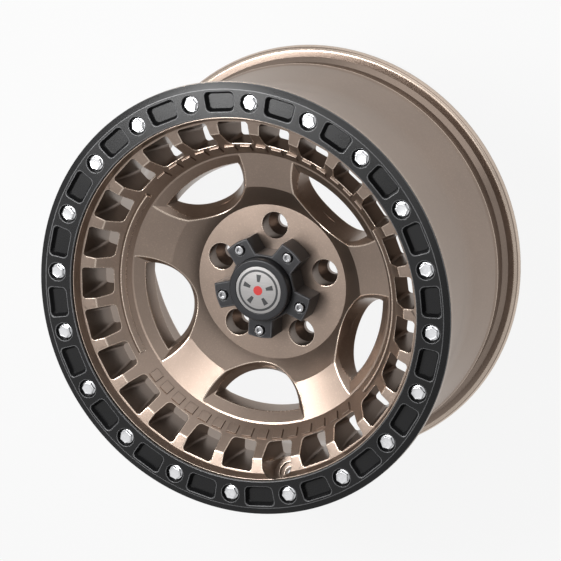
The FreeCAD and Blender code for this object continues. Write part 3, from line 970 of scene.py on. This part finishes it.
def powder_coat(name, colour, rough, dimple):
    material, tree, shader = start_finish(name)
    place = place_on(tree)
    clouds = spread(tree, noise(tree, place, COAT_CLOUD_SCALE, detail=4.0), 0.6)
    grain = spread(tree, noise(tree, place, COAT_GRAIN_SCALE), 0.4)
    share = sum_of(tree, clouds, grain)
    dimples = noise(tree, place, dimple, detail=1.0, rough=0.4)
    set_shader(tree, shader,
               Base_Color=shades(tree, share, colour, COAT_TONES),
               Metallic=0.0,
               Roughness=uneven(tree, share, rough, COAT_ROUGH),
               Specular_IOR_Level=0.3,
               Normal=bump(tree, dimples, DIMPLE_HEIGHT, 0.4))
    return material


ring_black = powder_coat("ring_black", COAT_BLACK, 0.27, RING_DIMPLES)
# The edges' lighter colour is a painted highlight.
ring_highlight = powder_coat("ring_highlight", COAT_HIGHLIGHT, 0.27, RING_DIMPLES)

# %% [markdown]
# The cap is satin black too, but moulded and finer. Its round centre has a slightly smoother skin
# than the star, so that the two pieces part where they meet. The star's rolled edges are lighter
# in colour, a painted highlight.

# %% Cap black
CAP_BLACK = (0.022, 0.022, 0.024)
# the rolled edges' lighter colour: a painted highlight
CAP_HIGHLIGHT = (0.07, 0.07, 0.074)
CENTRE_BLACK = (0.02, 0.02, 0.022)
CAP_DIMPLES, CENTRE_DIMPLES = 1500.0, 1700.0

cap_black = powder_coat("cap_black", CAP_BLACK, 0.36, CAP_DIMPLES)
# The edges' lighter colour is a painted highlight.
cap_highlight = powder_coat("cap_highlight", CAP_HIGHLIGHT, 0.32, CAP_DIMPLES)
centre_black = powder_coat("centre_black", CENTRE_BLACK, 0.3, CENTRE_DIMPLES)

# %% [markdown]
# Bolts and screws are bright zinc on steel. Zinc is a full metal, so its colour comes from what it
# reflects. Cold forming leaves fine streaks and each piece carries a few duller specks, so the
# roughness varies more than the colour does.

# %% Bright zinc
ZINC = (0.86, 0.865, 0.88)
SCREW_ZINC = (0.4, 0.4, 0.41)
SPECK_SCALE, STREAK_SCALE = 420.0, 1800.0
STREAK_HEIGHT = 0.02 * MM
ZINC_TONES = (0.86, 1.04)
ZINC_ROUGH = (0.08, -0.05)


def plated(name, colour, rough):
    material, tree, shader = start_finish(name)
    place = place_on(tree)
    specks = spread(tree, noise(tree, place, SPECK_SCALE, detail=4.0, rough=0.65), 0.6)
    streaks = spread(tree, noise(tree, place, STREAK_SCALE), 0.4)
    share = sum_of(tree, specks, streaks)
    set_shader(tree, shader,
               Base_Color=shades(tree, share, colour, ZINC_TONES),
               Metallic=1.0,
               Roughness=uneven(tree, share, rough, ZINC_ROUGH),
               Normal=bump(tree, streaks, STREAK_HEIGHT, 0.3))
    return material


zinc = plated("bright_zinc", ZINC, 0.2)
screw_zinc = plated("screw_zinc", SCREW_ZINC, 0.24)

# %% [markdown]
# The badge is brushed metal under a clear dome. The brushing runs one way across the disc, so its
# noise is stretched along X with a Mapping node, and the dome is the shader's own coat, smooth
# above a rougher metal. The sign is printed under the same dome and shares its gloss.

# %% Badge finishes
SILVER = (0.3, 0.29, 0.285)
PRINT_BLACK = (0.016, 0.016, 0.018)
PRINT_RED = (0.5, 0.012, 0.01)
STROKES = (60.0, 2600.0, 60.0)     # fine across the brushing, coarse along it
STROKE_HEIGHT = 0.01 * MM
BADGE_ROUGHNESS = 0.4
BADGE_TONES = (0.9, 1.08)
BADGE_ROUGH = (0.06, -0.06)


def brushed_under_dome(name, colour, metal):
    material, tree, shader = start_finish(name)
    place = place_on(tree)
    drawn = node(tree, "ShaderNodeMapping", {"Vector": place, "Scale": STROKES})
    strokes = noise(tree, drawn.outputs["Vector"], 1.0, detail=3.0, rough=0.6)
    share = spread(tree, strokes, 1.0)
    set_shader(tree, shader,
               Base_Color=shades(tree, share, colour, BADGE_TONES),
               Metallic=metal,
               Roughness=uneven(tree, share, BADGE_ROUGHNESS, BADGE_ROUGH),
               Normal=bump(tree, strokes, STROKE_HEIGHT, 0.25),
               Coat_Weight=0.5, Coat_Roughness=0.04)
    return material


badge_silver = brushed_under_dome("badge_silver", SILVER, 0.7)
print_black = brushed_under_dome("print_black", PRINT_BLACK, 0.0)
print_red = brushed_under_dome("print_red", PRINT_RED, 0.0)
print("finishes:", len(bpy.data.materials))

# %% [markdown]
# Every piece gets its finish, stands in for its solid and rides on the wheel. The rolled copies
# carry two finishes, the face's and the edge's. The raised rows take the face's finish in both
# places, so their edges have no painted highlight.

# %% Dress the wheel


def dress(piece, finishes, stands_for=None):
    if len(piece.data.materials) < len(finishes):
        two_slots(piece)
    for place, finish in enumerate(finishes):
        piece.data.materials[place] = finish
    if stands_for:
        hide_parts(stands_for)
    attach(piece, "root")


dress(casting, [bronze, bronze_highlight], "wheel_casting")
for row in raised_rows:
    dress(row, [bronze, bronze])
dress(ring, [ring_black, ring_highlight], "clamp_ring")
for item in ring_bolts:
    dress(item, [zinc], "ring_bolts")
dress(cap_body, [cap_black, cap_highlight], "cap_body")
dress(cap_centre, [centre_black], "cap_centre")
for item in cap_screws:
    dress(item, [screw_zinc], "cap_screws")
dress(badge, [badge_silver], "cap_badge")
for item in sign_black:
    dress(item, [print_black])
dress(sign_red, [print_red])

# %% [markdown]
# The camera stands where the photograph's camera stood. The wheel lies on its rear lip, so the
# camera looks down on it, and it is rolled about its own axis to bring the picture upright.

# %% Camera at the photograph's viewing angle
CAMERA_AZIMUTH = 38.04     # where the camera stands, from +X towards +Y
CAMERA_ELEVATION = 63.29
CAMERA_ROLL = 121.97
CAMERA_DISTANCE = 3.1292
CAMERA_AIM = Vector((9.86, 3.09, 151.5)) * MM
CAMERA_LENS = 185.44
CAMERA_SENSOR = 36.0
CAMERA_REACH = 50.0

azimuth = math.radians(CAMERA_AZIMUTH)
elevation = math.radians(CAMERA_ELEVATION)
back = Vector((math.cos(azimuth) * math.cos(elevation),
               math.sin(azimuth) * math.cos(elevation), math.sin(elevation)))
bpy.ops.object.camera_add(location=CAMERA_AIM + back * CAMERA_DISTANCE)
camera = named("photo_camera")
turn = (-back).to_track_quat("-Z", "Y").to_matrix()
camera.rotation_euler = (turn @ Matrix.Rotation(math.radians(-CAMERA_ROLL), 3, "Z")).to_euler()
camera.data.lens = CAMERA_LENS
camera.data.sensor_width = CAMERA_SENSOR
camera.data.clip_end = CAMERA_REACH
bpy.context.scene.camera = camera
print("camera, mm:", [round(v / MM) for v in camera.location])

# %% [markdown]
# The studio is plain: a white floor that runs out of the picture and a white world. The floor looks
# white to the camera and in reflections through the Light Path node, and keeps enough of its own
# shading to hold the wheel's shadow. All other light reaches it as on any white floor. The world
# is white to the camera too, dimmer in reflections, and dimmer again as light on the wheel.

# %% White floor and world
FLOOR_SIZE = 12.0
FLOOR_DARK, FLOOR_LIGHT = (0.6, 0.6, 0.6), (0.62, 0.62, 0.62)
MOTTLE_SCALE = 6.0
SHADOW_SHARE = 0.1
WHITE = (1.0, 1.0, 1.0, 1.0)
WORLD_LIGHT = 0.12
SKY_IN_METAL = 0.6


def larger(tree, a, b):
    return node(tree, "ShaderNodeMath", {0: a, 1: b}, operation="MAXIMUM").outputs[0]


def seen_directly(tree, in_metal):
    """1 for rays that see it straight or through clear things, in_metal for reflections, else 0."""
    path = node(tree, "ShaderNodeLightPath")
    mirrored = stretch(tree, path.outputs["Is Glossy Ray"], 0.0, 1.0, 0.0, in_metal)
    straight = larger(tree, path.outputs["Is Camera Ray"], path.outputs["Is Transmission Ray"])
    return larger(tree, mirrored, straight)


def floor_white():
    material, tree, shader = start_finish("floor_white")
    place = place_on(tree)
    mottle = spread(tree, noise(tree, place, MOTTLE_SCALE, detail=3.0), 1.0)
    set_shader(tree, shader, Base_Color=tone(tree, mottle, FLOOR_DARK, FLOOR_LIGHT),
               Roughness=0.9, Specular_IOR_Level=0.1)
    glow = node(tree, "ShaderNodeEmission", {"Color": WHITE, "Strength": 1.0})
    blend = node(tree, "ShaderNodeMixShader", {"Fac": SHADOW_SHARE})
    tree.links.new(glow.outputs[0], blend.inputs[1])
    tree.links.new(shader.outputs[0], blend.inputs[2])
    choice = node(tree, "ShaderNodeMixShader", {"Fac": seen_directly(tree, 1.0)})
    tree.links.new(shader.outputs[0], choice.inputs[1])
    tree.links.new(blend.outputs[0], choice.inputs[2])
    tree.links.new(choice.outputs[0], tree.nodes["Material Output"].inputs["Surface"])
    return material


bpy.ops.mesh.primitive_plane_add(size=FLOOR_SIZE, location=(0, 0, 0))
floor = named("studio_floor")
bpy.ops.object.mode_set(mode="EDIT")
bpy.ops.mesh.subdivide(number_cuts=3)
leave_edit()
floor.data.materials.append(floor_white())

world = bpy.data.worlds.new("studio")
world.use_nodes = True
bpy.context.scene.world = world
sky = world.node_tree
background = sky.nodes["Background"]
background.inputs["Color"].default_value = WHITE
sky.links.new(stretch(sky, seen_directly(sky, SKY_IN_METAL), 0.0, 1.0, WORLD_LIGHT, 1.0),
              background.inputs["Strength"])

# %% [markdown]
# Four soft boxes light the wheel. The main one hangs straight over it as it lies, and a weak one
# beside it fills the shadows. A small one hangs nearer, and a wide, low one stands towards the top
# of the picture. The camera doesn't see them.

# %% Soft boxes


def soft_box(name, direction, distance, size, power):
    """A rectangular lamp that looks at the wheel from a direction."""
    towards = Vector(direction).normalized()
    bpy.ops.object.light_add(type="AREA", location=CAMERA_AIM + towards * distance)
    lamp = named(name)
    lamp.data.shape = "RECTANGLE"
    lamp.data.size, lamp.data.size_y = size
    lamp.data.energy = power
    lamp.rotation_euler = towards.to_track_quat("Z", "Y").to_euler()
    lamp.visible_camera = False
    return lamp


lamps = [soft_box("main_soft_box", (0.02, 0.3, 0.94), distance=1.8, size=(1.0, 1.0), power=4.6),
         soft_box("fill_soft_box", (-0.42, -0.22, 0.88), distance=1.8, size=(1.4, 1.0), power=0.9),
         soft_box("top_box", (-0.38, 0.24, 0.8), distance=0.92, size=(0.4, 0.4), power=8.5),
         soft_box("back_soft_box", (0.36, 0.86, 0.3), distance=1.8, size=(2.4, 1.2), power=6.5)]
print("lamps, W:", [lamp.data.energy for lamp in lamps])

# %% Colours as they are written
bpy.context.scene.view_settings.view_transform = "Standard"
